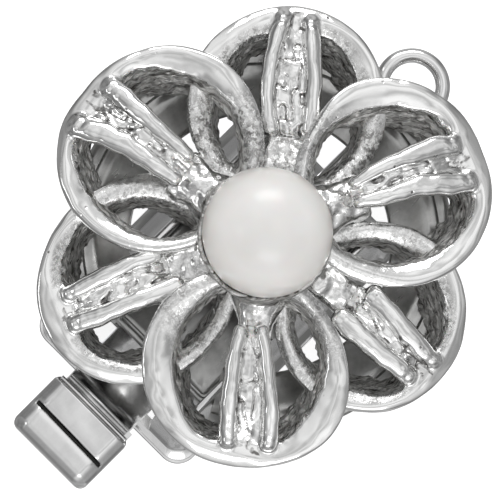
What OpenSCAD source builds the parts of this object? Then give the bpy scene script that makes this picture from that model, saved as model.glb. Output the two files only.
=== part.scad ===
// Box clasp with an openwork flower top and one round pearl.
// X runs along the clasp, from the thumb block (-X) to the strand's eyelet (+X).
// Z = 0 is the flat back, and X = Y = 0 is the flower's own axis.

/* [Flower] */
// Distance of a petal loop's middle from the flower's axis
petal_c = 6.3; // [5.9:0.1:6.6]
// Outer radius of an upper petal loop
petal_r = 5.05; // [4.7:0.05:5.2]
// Outer radius of a lower petal loop
petal_low_r = 4.95; // [4.6:0.05:5.1]
// Width of a loop's band
band_w = 1.2; // [1:0.05:1.4]
// Height of a loop's band
band_h = 1.4; // [1.2:0.05:1.6]
// Height of the upper loops' middle
up_z = 5.9; // [5.7:0.1:6.2]
// Height of the lower loops' middle
low_z = 4.85; // [4.75:0.05:4.95]
// Droop of the upper petals towards their tips, in degrees
up_tilt = 7; // [4:0.5:9]
// Droop of the lower petals towards their tips, in degrees
low_tilt = 3; // [1:0.5:5]
// Direction of the first upper petal, in degrees from +X
petal_turn = -23.3; // [-24.5:0.1:-22.5]

/* [Ribs] */
// Radius at which a rib's inner tips end
rib_r_in = 4.25; // [4:0.05:4.6]
// Radius at which a rib's outer tips end
rib_r_out = 10.4; // [10:0.1:10.6]
// Width over a rib's two rails at the outer end
rib_w_out = 2.75; // [2.2:0.05:3]
// Width over a rib's two rails at the inner end
rib_w_in = 1.8; // [1.6:0.05:2.2]
// Thickness of a rail
rail_d = 0.6; // [0.5:0.05:0.8]
// Rise of a rib's arch above the loop
rib_rise = 1.15; // [0.8:0.05:1.4]

/* [Pearl and cup] */
// Radius of the pearl
pearl_r = 3.1; // [2.8:0.05:3.3]
// Height of the pearl's middle
pearl_z = 8.3; // [8.2:0.1:8.6]
// Outer radius of the cup's rim
cup_r = 3.4; // [3.3:0.05:3.6]
// Gap between the pearl and its cup
pearl_gap = 0.05; // [0.03:0.01:0.1]

/* [Frame and box] */
// Where the frame's front edge lies along X
frame_x0 = -10.3; // [-10.6:0.1:-10]
// Where the frame's far edge lies along X
frame_x1 = 5; // [4.8:0.1:5.2]
// Width of the frame at its foot
frame_w = 9.9; // [9.6:0.1:10.4]
// Height of the frame
frame_h = 3.4; // [3.3:0.05:3.5]
// How far the frame's walls lean in over their height
frame_lean = 1.2; // [1:0.05:1.3]
// Thickness of the frame's walls
frame_t = 0.5; // [0.4:0.05:0.6]
// Where the box's mouth lies along X
box_x0 = -7.6; // [-7.8:0.1:-7.4]
// Height of the box
box_h = 2.6; // [2.6:0.05:2.7]
// Thickness of the box's sheet
sheet_t = 0.35; // [0.3:0.01:0.38]

/* [Back ring] */
// Inner radius of the dished back ring
ring_r_in = 6.75; // [6.5:0.05:7]
// Outer radius of the back ring's lip
ring_r_out = 8.8; // [8.7:0.05:8.9]
// Height of the lip's top edge
lip_z = 3.95; // [3.7:0.05:3.95]

/* [Eyelet] */
// Where the eyelet's middle lies along X
eye_x = 10.7; // [10.6:0.1:11.2]
// Radius of the eyelet's hole
eye_hole_r = 1.05; // [0.9:0.05:1.15]
// Outer radius of the eyelet
eye_r = 1.8; // [1.7:0.05:1.9]
// Height of the eyelet's middle
eye_z = 2.9; // [2.7:0.1:3]
// Thickness of the eyelet
eye_t = 0.75; // [0.6:0.05:0.8]

/* [Tongue] */
// Width of the tongue
tongue_w = 4; // [3.8:0.1:4]
// Thickness of a leaf of the tongue
leaf_t = 0.33; // [0.3:0.01:0.35]
// Width of the thumb block
block_w = 4.6; // [4:0.1:4.8]
// Where the thumb block starts along X
block_x0 = -14.6; // [-14.9:0.1:-14.3]
// Where the thumb block ends along X
block_x1 = -11.4; // [-11.5:0.1:-11.3]

/* [Hidden] */
silver = [0.80, 0.80, 0.79];
pearl_white = [0.93, 0.91, 0.87];

mid_r = petal_r - band_w / 2;
mid_low_r = petal_low_r - band_w / 2;
box_x1 = frame_x1 - frame_lean + 0.2;
box_w = frame_w - 2 * frame_lean;
mouth_w = tongue_w + 0.4;
mouth_top = 1.85;
hinge_x = box_x1 - sheet_t - 0.75;
low_leaf_z = 0.45;
up_leaf_z = 1.07;
fold_z = (low_leaf_z + up_leaf_z + leaf_t) / 2;
fold_r = (up_leaf_z + leaf_t - low_leaf_z) / 2;

// A band's section: flat below, an elliptical dome above
function band(w, h) = concat(
    [[-w / 2 + 0.08, -h / 2]],
    [for (a = [180 : -45 : 0]) [w / 2 * cos(a), -0.1 * h + 0.6 * h * sin(a)]],
    [[w / 2 - 0.12, -h / 2]]);

// One closed petal loop, lying round its own middle
module loop(r, z, tilt, ang, n) {
    rotate([0, 0, ang]) translate([petal_c, 0, z]) rotate([0, tilt, 0])
        rotate_extrude($fn = n) translate([r, 0]) polygon(band(band_w, band_h));
}

// Height of a rib's middle line at radius r, an arch over the loop's tip
function rib_z(r, z0, tilt) =
    let (u = (r - rib_r_in) / (rib_r_out - rib_r_in))
    z0 - (r - petal_c) * tan(tilt) + band_h * 0.28 + rib_rise * sin(180 * (0.12 + 0.8 * (1 - u)));

// A solid through rings of equal point count, with flat ends
module skin(rings) {
    n = len(rings[0]);
    m = len(rings);
    pts = [for (r = rings) for (p = r) p];
    sides = [for (i = [0 : m - 2]) for (j = [0 : n - 1])
        [i * n + j, i * n + (j + 1) % n, (i + 1) * n + (j + 1) % n, (i + 1) * n + j]];
    polyhedron(points = pts, faces = concat(
        [for (f = sides) [f[0], f[1], f[2]]], [for (f = sides) [f[0], f[2], f[3]]],
        [[for (j = [n - 1 : -1 : 0]) j]], [[for (j = [0 : n - 1]) (m - 1) * n + j]]));
}

// A rib's section at width w: two round rails with a channel floor between them
function rib_ring(r, w, z, d) =
    [for (p = [[-0.5, -0.3, -1], [-0.5, 0.28, -1], [-0.28, 0.55, -1], [0.28, 0.55, -1], [0.5, 0.12, -1],
               [-0.5, 0.12, 1], [-0.28, 0.55, 1], [0.28, 0.55, 1], [0.5, 0.28, 1], [0.5, -0.3, 1]])
        [r, p[2] * (w - d) / 2 + p[0] * d, z + p[1] * d]];

// One rib: two rails that converge inwards, arching from the loop's tip to free inner ends
module rib(z0, tilt, ang) {
    steps = 7;
    rotate([0, 0, ang]) {
        skin(concat(
            [rib_ring(rib_r_in - 0.16, rib_w_in * 0.9, rib_z(rib_r_in, z0, tilt) - 0.02, rail_d * 0.55)],
            [for (i = [0 : steps])
                let (u = i / steps, r = rib_r_in + (rib_r_out - rib_r_in) * u)
                rib_ring(r, rib_w_in * (1 - u) + rib_w_out * u, rib_z(r, z0, tilt), rail_d)],
            [rib_ring(rib_r_out + 0.16, rib_w_out * 0.9, rib_z(rib_r_out, z0, tilt) - 0.25, rail_d * 0.55)]));
        // the outer end's foot, which runs into the loop's tip
        hull() {
            translate([rib_r_out - 0.5, -rib_w_out / 2 + 0.2, rib_z(rib_r_out - 0.3, z0, tilt) - 0.12]) cube([0.42, rib_w_out - 0.4, 0.1]);
            translate([petal_c + mid_r - 0.36, -rib_w_out / 2 + 0.2, z0 - mid_r * tan(tilt) - 0.13]) cube([0.6, rib_w_out - 0.4, 0.1]);
        }
    }
}

// Where the lower loops pass over the frame's top edge: columns are x and y
LEGS = [[-1.55, 3.5], [0.71, 3.5], [3.55, -0.32], [3.55, -2.94], [-2.63, -3.5]];

module flower() {
    color(silver) union() {
        difference() {
            union() {
                for (k = [0 : 2]) {
                    loop(mid_r, up_z, up_tilt, petal_turn + 120 * k, 30);
                    rib(up_z, up_tilt, petal_turn + 120 * k);
                    loop(mid_low_r, low_z, low_tilt, petal_turn + 60 + 120 * k, 32);
                    rib(low_z, low_tilt, petal_turn + 60 + 120 * k);
                }
                // hub and cup
                translate([0, 0, 4.3]) cylinder(r = 3.2, h = 1.6, $fn = 26);
                translate([0, 0, 5.6]) cylinder(r1 = 3.1, r2 = cup_r, h = 2, $fn = 26);
            }
            translate([0, 0, pearl_z]) sphere(r = pearl_r + pearl_gap, $fn = 36);
        }
        // peg that carries the pearl
        translate([0, 0, 5]) cylinder(r = 0.4, h = pearl_z - 5 - pearl_r + 1.5, $fn = 13);
        // legs that stand on the frame
        for (p = LEGS)
            hull() {
                translate([p[0], p[1], frame_h + 0.05]) cylinder(r = 0.42, h = 0.1, $fn = 16);
                translate([p[0], p[1], low_z - 0.3]) cylinder(r = 0.48, h = 0.1, $fn = 16);
            }
    }
}

module pearl() {
    color(pearl_white) difference() {
        translate([0, 0, pearl_z]) sphere(r = pearl_r, $fn = 64);
        translate([0, 0, pearl_z - pearl_r - 1]) cylinder(r = 0.46, h = 1 + 1.6, $fn = 24);
    }
}

// A rectangle with round corners
module rounded(l, w, r) {
    square([l - 2 * r, w], center = true);
    square([l, w - 2 * r], center = true);
    for (x = [-1, 1], y = [-1, 1]) translate([x * (l / 2 - r), y * (w / 2 - r)]) circle(r = r, $fn = 48);
}

// The space inside four leaning walls, drawn in by t
module leaning(t, h) {
    l = frame_x1 - frame_x0;
    translate([(frame_x0 + frame_x1) / 2, 0, 0]) intersection() {
        rotate([90, 0, 90]) linear_extrude(l + 2, center = true)
            polygon([[-frame_w / 2 + t, 0], [frame_w / 2 - t, 0],
                     [frame_w / 2 - t - frame_lean * h / frame_h, h], [-frame_w / 2 + t + frame_lean * h / frame_h, h]]);
        rotate([90, 0, 0]) linear_extrude(frame_w + 2, center = true)
            polygon([[-l / 2 + t, 0], [l / 2 - t, 0],
                     [l / 2 - t - frame_lean * h / frame_h, h], [-l / 2 + t + frame_lean * h / frame_h, h]]);
        linear_extrude(h) rounded(l - 2 * t, frame_w - 2 * t, 1.5);
    }
}

module box() {
    eye_shank_x = frame_x1 - frame_lean - 0.1;
    color(silver) union() {
        // leaning frame with its foot rim, and the notch for the tongue
        difference() {
            union() {
                leaning(0, frame_h);
                translate([(frame_x0 + frame_x1) / 2, 0, 0]) linear_extrude(0.3)
                    rounded(frame_x1 - frame_x0, frame_w, 1.5);
            }
            translate([0, 0, -0.01]) leaning(frame_t, frame_h + 1);
            translate([frame_x0 - 1, -mouth_w / 2, sheet_t]) cube([4, mouth_w, frame_h + 1]);
        }
        // sheet box, open at its mouth
        difference() {
            translate([box_x0, -box_w / 2, 0]) cube([box_x1 - box_x0, box_w, box_h]);
            translate([box_x0 + 0.4, -box_w / 2 + sheet_t, sheet_t])
                cube([box_x1 - box_x0 - 0.4 - sheet_t, box_w - 2 * sheet_t, box_h - 2 * sheet_t]);
            translate([box_x0 - 1, -mouth_w / 2, sheet_t]) cube([2, mouth_w, mouth_top - sheet_t]);
        }
        // dished back ring with its upright lip, broken where the frame passes
        difference() {
            rotate_extrude($fn = 96)
                polygon([[ring_r_in, 2.35], [ring_r_out - 0.4, 2.6], [ring_r_out, 2.9], [ring_r_out, lip_z - 0.1], [ring_r_out - 0.1, lip_z],
                         [ring_r_out - 0.4, lip_z], [ring_r_out - 0.5, lip_z - 0.1], [ring_r_out - 0.5, 3.15], [ring_r_in, 2.75]]);
            translate([-12, -frame_w / 2 + 1.15, 0]) cube([12, frame_w - 2.3, 6]);
        }
        // bottom sheet that ties the box to the frame's foot
        translate([(frame_x0 + frame_x1) / 2, 0, 0]) linear_extrude(0.3) intersection() {
            rounded(frame_x1 - frame_x0 - 0.4, frame_w - 0.4, 1.3);
            translate([box_x0 - (frame_x0 + frame_x1) / 2, -frame_w]) square([20, 2 * frame_w]);
        }
        // shank and ring of the eyelet
        difference() {
            translate([eye_shank_x, 0, eye_z]) rotate([0, 90, 0])
                cylinder(d = eye_t - 0.05, h = eye_x - eye_hole_r - 0.3 - eye_shank_x, $fn = 32);
            translate([eye_x, 0, eye_z - 2]) cylinder(r = eye_hole_r + 0.2, h = 4, $fn = 48);
        }
        translate([eye_x, 0, eye_z]) rotate_extrude($fn = 72)
            polygon([[eye_hole_r, -eye_t / 2 + 0.15], [eye_hole_r + 0.15, -eye_t / 2], [eye_r - 0.2, -eye_t / 2], [eye_r, -eye_t / 2 + 0.2],
                     [eye_r, eye_t / 2 - 0.2], [eye_r - 0.2, eye_t / 2], [eye_hole_r + 0.15, eye_t / 2], [eye_hole_r, eye_t / 2 - 0.15]]);
    }
}

module tongue() {
    color(silver) union() {
        // lower leaf
        translate([block_x1 - 0.2, -tongue_w / 2, low_leaf_z]) cube([hinge_x - block_x1 + 0.2, tongue_w, leaf_t]);
        // half-round fold at the inner end
        translate([hinge_x, 0, fold_z]) rotate([90, 0, 0]) rotate([0, 0, -90])
            translate([0, 0, -tongue_w / 2]) rotate_extrude(angle = 150, $fn = 48)
                translate([fold_r - leaf_t, 0]) square([leaf_t, tongue_w]);
        // foot plate under the thumb block
        translate([block_x0 + 0.9, -block_w / 2 + 0.1, low_leaf_z - 0.1])
            linear_extrude(leaf_t + 0.1) square([block_x1 - block_x0 - 0.3, block_w - 0.5]);
    }
}

module spring_leaf() {
    color(silver) union() {
        // upper leaf, with the catch step behind the box's front wall
        translate([block_x1 - 0.3, -tongue_w / 2 + 0.05, up_leaf_z])
            cube([hinge_x - 0.12 - block_x1 + 0.3, tongue_w - 0.1, leaf_t]);
        translate([box_x0 + 0.5, -tongue_w / 2 + 0.3, up_leaf_z]) cube([0.8, tongue_w - 0.6, 0.68]);
        // neck riser and the thumb block of two bars
        translate([block_x1 - 0.3, -tongue_w / 2 + 0.3, up_leaf_z]) cube([0.9, tongue_w - 0.6, 0.9]);
        translate([0, block_w / 2, 0]) rotate([90, 0, 0]) linear_extrude(block_w)
            polygon([[block_x0 + 0.35, 1.02], [block_x1 - 0.2, 1.02], [block_x1, 1.25], [block_x1, 2.5], [block_x1 - 0.3, 2.8],
                     [block_x0 + 1.75, 2.8], [block_x0 + 1.55, 2.55], [block_x0 + 1.35, 2.6],
                     [block_x0 + 0.4, 2.45], [block_x0, 2.05], [block_x0, 1.35]]);
    }
}

flower();
pearl();
box();
tongue();
spring_leaf();
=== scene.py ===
import math
import bpy
import bmesh
import numpy as np
from mathutils import Matrix, Vector


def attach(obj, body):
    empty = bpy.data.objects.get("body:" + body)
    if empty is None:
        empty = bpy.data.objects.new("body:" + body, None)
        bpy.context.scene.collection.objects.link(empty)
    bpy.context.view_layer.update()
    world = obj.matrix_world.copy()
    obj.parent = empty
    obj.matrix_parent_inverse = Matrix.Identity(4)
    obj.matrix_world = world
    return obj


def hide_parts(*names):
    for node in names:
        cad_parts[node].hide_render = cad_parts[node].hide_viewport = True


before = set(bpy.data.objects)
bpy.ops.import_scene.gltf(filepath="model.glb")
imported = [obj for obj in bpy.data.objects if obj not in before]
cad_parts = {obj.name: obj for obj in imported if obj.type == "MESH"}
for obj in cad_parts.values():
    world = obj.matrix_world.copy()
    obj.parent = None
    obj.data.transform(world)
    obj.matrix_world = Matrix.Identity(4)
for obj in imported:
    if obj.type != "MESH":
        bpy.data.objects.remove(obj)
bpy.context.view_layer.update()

STEP = 0.07  # grid step of the modelled metal, in mm
MM = 0.001

# ---------------------------------------------------------------- sizes, in mm, as in the CAD part
PETAL_C = 6.3
UP_Z, LOW_Z = 5.9, 4.85
UP_TILT, LOW_TILT = 7.0, 3.0
MID_UP, MID_LOW = 4.43, 4.33
RIB_IN, RIB_OUT, RIB_RISE, BAND_H = 4.25, 10.4, 1.15, 1.4
PEARL_R, PEARL_Z, PEARL_X = 3.1, 8.3, -0.12
FRAME_X0, FRAME_X1, FRAME_W, FRAME_H, LEAN = -10.4, 5.0, 9.9, 3.4, 1.2
BOX_X0, BOX_X1, BOX_W, BOX_H, SHEET = -7.6, 4.0, 7.5, 2.6, 0.35
MOUTH_W, MOUTH_TOP = 4.4, 1.85
RING_IN, RING_OUT = 6.75, 8.8
EYE_X, EYE_HOLE, EYE_R, EYE_Z, EYE_T = 10.63, 1.13, 1.86, 2.9, 0.75
BLOCK_X0, BLOCK_X1, BLOCK_W = -14.6, -11.25, 4.76

# One entry a petal, in its own frame: x outwards along the petal, y to its left.
# out and inn: the band's outer and inner edge every 30 degrees round the loop's middle, from the hub side
# counterclockwise; a and b: the left and right rail as (x, y, width), grow: how much wider they are towards each other; frost: how grainy its left and right arm are
PETALS = [
    {"name": "east", "grow": 1.2, "angle": -23.3, "upper": True, "seed": 11, "crumple": 1.0, "frost": (0.75, 0.3),
     "out": (4.8, 4.85, 4.9, 5.1, 5.21, 5.18, 5.07, 5.25, 5.38, 5.3, 4.75, 4.75),
     "inn": (3.9, 3.9, 3.8, 3.9, 4.1, 4.2, 3.5, 4.2, 3.95, 3.9, 4.0, 3.9),
     "a": ((4.44, 0.67, 0.46), (5.66, 0.92, 0.56), (6.72, 1.01, 0.68), (8.03, 1.03, 0.80), (9.24, 1.02, 0.92), (10.35, 0.68, 0.80)),
     "b": ((4.30, -0.16, 0.50), (5.49, -0.47, 0.66), (6.59, -0.56, 0.76), (7.75, -0.62, 0.86), (8.93, -0.96, 0.92), (10.45, -1.38, 0.80))},
    {"name": "north", "grow": 1.16, "angle": 96.7, "upper": True, "seed": 23, "crumple": 0.9, "frost": (0.35, 1.0),
     "out": (4.9, 4.95, 5.1, 5.4, 5.33, 5.08, 4.85, 5.05, 5.18, 5.1, 5.0, 4.9),
     "inn": (4.0, 4.05, 4.0, 4.0, 4.1, 4.15, 3.45, 4.15, 4.08, 4.1, 4.15, 4.2),
     "a": ((4.68, 0.71, 0.56), (6.28, 0.80, 0.80), (7.72, 0.89, 0.98), (9.10, 1.12, 1.05), (10.6, 1.70, 0.95)),
     "b": ((4.95, -0.59, 0.50), (6.11, -0.70, 0.66), (7.53, -0.78, 0.84), (8.80, -0.90, 0.95), (10.5, -1.08, 0.90))},
    {"name": "south", "grow": 1.24, "angle": 216.7, "upper": True, "seed": 37, "crumple": 0.8, "frost": (0.6, 0.6),
     "out": (4.8, 4.9, 5.15, 5.15, 5.1, 5.0, 4.9, 5.1, 5.28, 5.0, 4.65, 4.7),
     "inn": (3.9, 3.9, 3.75, 3.6, 3.6, 3.9, 3.6, 4.0, 3.75, 3.7, 3.8, 3.85),
     "a": ((4.29, 0.34, 0.52), (5.44, 0.73, 0.57), (6.95, 1.12, 0.61), (8.18, 1.45, 0.66), (9.28, 1.57, 0.72), (10.2, 1.58, 0.64)),
     "b": ((4.44, -0.62, 0.52), (5.67, -0.78, 0.61), (7.22, -0.77, 0.71), (8.49, -0.70, 0.71), (9.48, -0.60, 0.71), (10.3, -0.35, 0.62))},
    {"name": "far", "grow": 1.08, "angle": 36.7, "upper": False, "seed": 41, "crumple": 1.15, "frost": (1.0, 1.0),
     "out": (4.8, 4.9, 5.0, 5.1, 5.2, 5.25, 5.12, 4.88, 4.78, 4.7, 4.7, 4.7),
     "inn": (3.9, 4.0, 4.0, 3.9, 3.95, 4.1, 3.6, 3.6, 3.4, 3.4, 3.6, 3.75),
     "a": ((4.78, 0.30, 0.74), (5.54, 0.67, 0.74), (6.69, 0.92, 0.72), (8.28, 0.95, 0.70), (9.84, 0.77, 0.72), (10.9, 0.42, 0.62)),
     "b": ((4.96, -1.38, 0.78), (6.20, -1.40, 0.78), (7.63, -1.31, 0.76), (9.22, -1.05, 0.76), (10.22, -0.86, 0.74), (10.9, -0.62, 0.62))},
    {"name": "west", "grow": 1.16, "angle": 154.5, "upper": False, "seed": 53, "crumple": 1.2, "frost": (0.55, 0.45),
     "out": (4.9, 5.15, 5.25, 5.0, 4.85, 4.92, 5.12, 5.2, 5.1, 4.9, 4.8, 4.8),
     "inn": (3.9, 3.95, 3.95, 3.85, 3.85, 3.9, 3.4, 3.95, 3.98, 3.95, 3.9, 3.9),
     "a": ((4.35, 0.90, 0.94), (5.67, 0.98, 0.90), (7.19, 0.97, 0.82), (8.46, 1.02, 0.86), (10.3, 1.01, 0.76)),
     "b": ((4.80, -0.92, 0.66), (6.51, -0.93, 0.72), (8.29, -0.75, 0.80), (10.1, -0.50, 0.72))},
    {"name": "side", "grow": 1.2, "angle": 276.7, "upper": False, "seed": 67, "crumple": 1.1, "frost": (0.5, 0.5),
     "out": (4.7, 4.6, 4.6, 4.6, 4.6, 4.6, 4.64, 4.78, 5.0, 5.0, 4.8, 4.7),
     "inn": (3.75, 3.7, 3.65, 3.6, 3.65, 3.75, 3.3, 3.75, 3.85, 3.85, 3.8, 3.75),
     "a": ((5.33, 1.12, 0.94), (6.77, 0.92, 0.90), (8.11, 0.67, 0.85), (9.28, 0.48, 0.75), (10.30, 0.40, 0.66)),
     "b": ((4.81, -0.93, 1.00), (5.99, -1.01, 0.99), (7.35, -1.09, 0.90), (8.64, -1.04, 0.80), (9.90, -1.03, 0.71))},
]


# ---------------------------------------------------------------- noise and distance fields
def lattice(xi, yi, zi, seed):
    h = (xi * 374761393 + yi * 668265263 + zi * 1274126177 + seed * 362437) & 0xFFFFFFFF
    h = ((h ^ (h >> 13)) * 1103515245) & 0xFFFFFFFF
    h = ((h ^ (h >> 16)) * 2246822519) & 0xFFFFFFFF
    return ((h >> 8) & 0xFFFF) / 32767.5 - 1.0


def noise(x, y, z, seed):
    """Smooth value noise from -1 to 1."""
    xf, yf, zf = np.floor(x), np.floor(y), np.floor(z)
    xi, yi, zi = xf.astype(np.int64), yf.astype(np.int64), zf.astype(np.int64)
    u, v, w = x - xf, y - yf, z - zf
    u, v, w = (t * t * (3 - 2 * t) for t in (u, v, w))
    total = 0.0
    for dx in (0, 1):
        for dy in (0, 1):
            for dz in (0, 1):
                wt = (u if dx else 1 - u) * (v if dy else 1 - v) * (w if dz else 1 - w)
                total = total + wt * lattice(xi + dx, yi + dy, zi + dz, seed)
    return total


def smin(a, b, k):
    h = np.clip(0.5 + 0.5 * (b - a) / k, 0, 1)
    return b * (1 - h) + a * h - k * h * (1 - h)


def smax(a, b, k):
    return -smin(-a, -b, k)


def step(lo, hi, x):
    t = np.clip((x - lo) / (hi - lo), 0, 1)
    return t * t * (3 - 2 * t)


def rounded_rect(qs, qz, hs, hz, r):
    a, b = np.abs(qs) - (hs - r), np.abs(qz) - (hz - r)
    return np.hypot(np.maximum(a, 0), np.maximum(b, 0)) + np.minimum(np.maximum(a, b), 0) - r


def grid_axes(lo, hi, h):
    return [np.arange(a, b + h, h) for a, b in zip(lo, hi)]


def surface(field, axes, h, iterations=3):
    """Closed mesh of field = 0 by surface nets, its points pulled onto the surface."""
    F = field.astype(np.float32)
    inside = F < 0
    nx, ny, nz = F.shape
    count = np.zeros((nx - 1, ny - 1, nz - 1), np.int8)
    for a in (0, 1):
        for b in (0, 1):
            for c in (0, 1):
                count += inside[a:nx - 1 + a, b:ny - 1 + b, c:nz - 1 + c]
    active = (count > 0) & (count < 8)
    ijk = np.argwhere(active)
    index = np.full(active.shape, -1, np.int64)
    index[active] = np.arange(len(ijk))
    acc = np.zeros((len(ijk), 3))
    cnt = np.zeros(len(ijk))
    corners = [(a, b, c) for a in (0, 1) for b in (0, 1) for c in (0, 1)]
    for p in corners:
        for ax in range(3):
            if p[ax]:
                continue
            q = tuple(v + (1 if i == ax else 0) for i, v in enumerate(p))
            fa = F[ijk[:, 0] + p[0], ijk[:, 1] + p[1], ijk[:, 2] + p[2]]
            fb = F[ijk[:, 0] + q[0], ijk[:, 1] + q[1], ijk[:, 2] + q[2]]
            m = (fa < 0) != (fb < 0)
            t = fa[m] / (fa[m] - fb[m])
            pos = np.array(p, float)[None, :].repeat(m.sum(), 0)
            pos[:, ax] += t
            acc[m] += pos
            cnt[m] += 1
    v = ijk + acc / cnt[:, None]
    G = [g.astype(np.float32) for g in np.gradient(F, h)]

    def sample(A, p):
        i = np.clip(np.floor(p).astype(int), 0, np.array(A.shape) - 2)
        f = p - i
        out = 0.0
        for a in (0, 1):
            for b in (0, 1):
                for c in (0, 1):
                    wt = (f[:, 0] if a else 1 - f[:, 0]) * (f[:, 1] if b else 1 - f[:, 1]) * (f[:, 2] if c else 1 - f[:, 2])
                    out = out + wt * A[i[:, 0] + a, i[:, 1] + b, i[:, 2] + c]
        return out

    start = v.copy()
    for _ in range(iterations):
        d = sample(F, v)
        g = np.stack([sample(a, v) for a in G], -1)
        n2 = np.maximum((g * g).sum(1), 0.05)
        move = (d / n2)[:, None] * g / h
        v = v - np.clip(move, -0.5, 0.5)
        v = np.clip(v, start - 0.75, start + 0.75)
    normal = np.stack([sample(a, v) for a in G], -1)
    normal /= np.maximum(np.linalg.norm(normal, axis=1), 1e-9)[:, None]
    quads = []
    for ax in range(3):
        s0 = [slice(None)] * 3
        s1 = [slice(None)] * 3
        s0[ax], s1[ax] = slice(0, -1), slice(1, None)
        a, b = inside[tuple(s0)], inside[tuple(s1)]
        e = np.argwhere(a != b)
        u, w = [i for i in range(3) if i != ax]
        ok = (e[:, u] > 0) & (e[:, w] > 0) & (e[:, u] < F.shape[u] - 1) & (e[:, w] < F.shape[w] - 1)
        e = e[ok]
        flip = a[e[:, 0], e[:, 1], e[:, 2]]
        cells = []
        for du, dw in ((-1, -1), (0, -1), (0, 0), (-1, 0)):
            c = e.copy()
            c[:, u] += du
            c[:, w] += dw
            cells.append(index[c[:, 0], c[:, 1], c[:, 2]])
        q = np.stack(cells, -1)
        if ax == 1:
            flip = ~flip
        q[~flip] = q[~flip][:, ::-1]
        quads.append(q)
    quads = np.concatenate(quads)
    origin = np.array([a[0] for a in axes])
    return origin + v * h, quads, normal


def turned(v, angle):
    c, s = math.cos(math.radians(angle)), math.sin(math.radians(angle))
    return np.stack([v[:, 0] * c - v[:, 1] * s, v[:, 0] * s + v[:, 1] * c, v[:, 2]], -1)


def make_mesh(name, verts, faces, normals=None, attributes=None, smooth=True):
    """A mesh object from points in mm."""
    me = bpy.data.meshes.new(name)
    me.vertices.add(len(verts))
    me.vertices.foreach_set("co", (np.asarray(verts) * MM).astype(np.float32).ravel())
    faces = np.asarray(faces)
    n = faces.shape[1]
    me.loops.add(faces.size)
    me.loops.foreach_set("vertex_index", faces.astype(np.int32).ravel())
    me.polygons.add(len(faces))
    me.polygons.foreach_set("loop_start", np.arange(0, faces.size, n, dtype=np.int32))
    me.update(calc_edges=True)
    me.validate()
    me.shade_smooth() if smooth else None
    for key, values in (attributes or {}).items():
        at = me.attributes.new(key, "FLOAT", "POINT")
        at.data.foreach_set("value", np.asarray(values, np.float32))
    if normals is not None:
        me.normals_split_custom_set_from_vertices(normals.tolist())
    ob = bpy.data.objects.new(name, me)
    bpy.context.scene.collection.objects.link(ob)
    return ob


# ---------------------------------------------------------------- the flower's petals
def rib_height(r, z0, tilt):
    u = (r - RIB_IN) / (RIB_OUT - RIB_IN)
    return (z0 - (r - PETAL_C) * math.tan(math.radians(tilt)) + BAND_H * 0.28
            + RIB_RISE * np.sin(np.pi * (0.12 + 0.8 * (1 - np.clip(u, -0.03, 1.03)))))


def around(values, ph):
    """A smooth closed curve through evenly spaced values, the first at -180 degrees."""
    v = np.array(values)
    n = len(v)
    t = (ph + math.pi) / (2 * math.pi) * n
    i = np.floor(t).astype(int)
    f = t - i
    p0, p1, p2, p3 = (v[(i + k) % n] for k in (-1, 0, 1, 2))
    return 0.5 * (2 * p1 + (p2 - p0) * f + (2 * p0 - 5 * p1 + 4 * p2 - p3) * f ** 2 + (3 * p1 - p0 - 3 * p2 + p3) * f ** 3)


def rail_curve(row, key):
    """Dense x, y and half width along a rail, its corners rounded off."""
    p = np.array(row[key])
    p[:, 1] += (row["grow"] - 1) * p[:, 2] / 2 * (1 if key == "b" else -1)
    p[:, 2] *= row["grow"]
    x = np.linspace(p[0, 0], p[-1, 0], 240)
    out = []
    for k in (1, 2):
        y = np.interp(x, p[:, 0], p[:, k])
        w = 33
        pad = np.concatenate([2 * y[0] - y[1:w // 2 + 1][::-1], y, 2 * y[-1] - y[-w // 2:-1][::-1]])
        kernel = np.hanning(w + 2)[1:-1]
        out.append(np.convolve(pad, kernel / kernel.sum(), "same")[w // 2: w // 2 + len(y)])
    return x, out[0], out[1] / 2


def rail_z(x, x0, x1, z0, tilt):
    """Height of a rail's middle: a low arch that ends on the band."""
    t = np.clip((x - x0) / (x1 - x0), -0.05, 1.05)
    plane = z0 - (x - PETAL_C) * math.tan(math.radians(tilt))
    return plane + 0.40 + 0.66 * np.sin(np.pi * (0.20 + 0.78 * t)) - 0.16 * step(x0 + 0.7, x0 + 0.1, x) - (0.16 if z0 > 5.3 else 0.30) * step(x1 - 0.9, x1, x)


def loop_parts(x, y, z, row):
    """Loop coordinates: offset across the band, its half width, angle round the loop, height over its plane."""
    upper = row["upper"]
    tilt = math.radians(UP_TILT if upper else LOW_TILT)
    z0 = UP_Z if upper else LOW_Z
    lx = (x - PETAL_C) * math.cos(tilt) - (z - z0) * math.sin(tilt)
    lz = (x - PETAL_C) * math.sin(tilt) + (z - z0) * math.cos(tilt)
    ph = np.arctan2(y, lx)
    outer = 0.5 + 0.5 * np.cos(ph)  # 1 at the tip, 0 at the hub
    ro, ri = around(row["out"], ph), around(row["inn"], ph)
    return np.hypot(lx, y) - (ro + ri) / 2, (ro - ri) / 2, ph, lz, outer


def band_lean(outer, ph, lz, top, deep, seed):
    u = np.clip((top - lz) / (top + deep), 0, 1.4)
    return (0.95 + 0.2 * np.sin(3 * ph + seed) + 0.1 * np.sin(7 * ph + 2 * seed)) * (0.5 + 0.5 * step(0.3, 0.85, outer)) * u ** 1.2


def chan_relief(cx, cy, row):
    """Height of the crumpled channel and how deep in a crease each point is."""
    seed, c = row["seed"], row["crumple"]
    n1 = noise(cx / 0.85, cy / 0.55, cx * 0, seed + 21)
    n2 = noise(cx / 0.75 + 5, cy / 0.30 + 0.4 * n1, cx * 0, seed + 29)
    n3 = noise(cx / 0.40 + 2, cy / 0.45, cx * 0, seed + 35)
    crease = np.clip(1 - np.abs(n2) * 3.2, 0, 1) ** 1.5 * step(-0.5, 0.1, n3 + 0.25)
    return c * (0.13 * n1 + 0.06 * n3 - 0.14 * crease) + 0.04, crease


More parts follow.
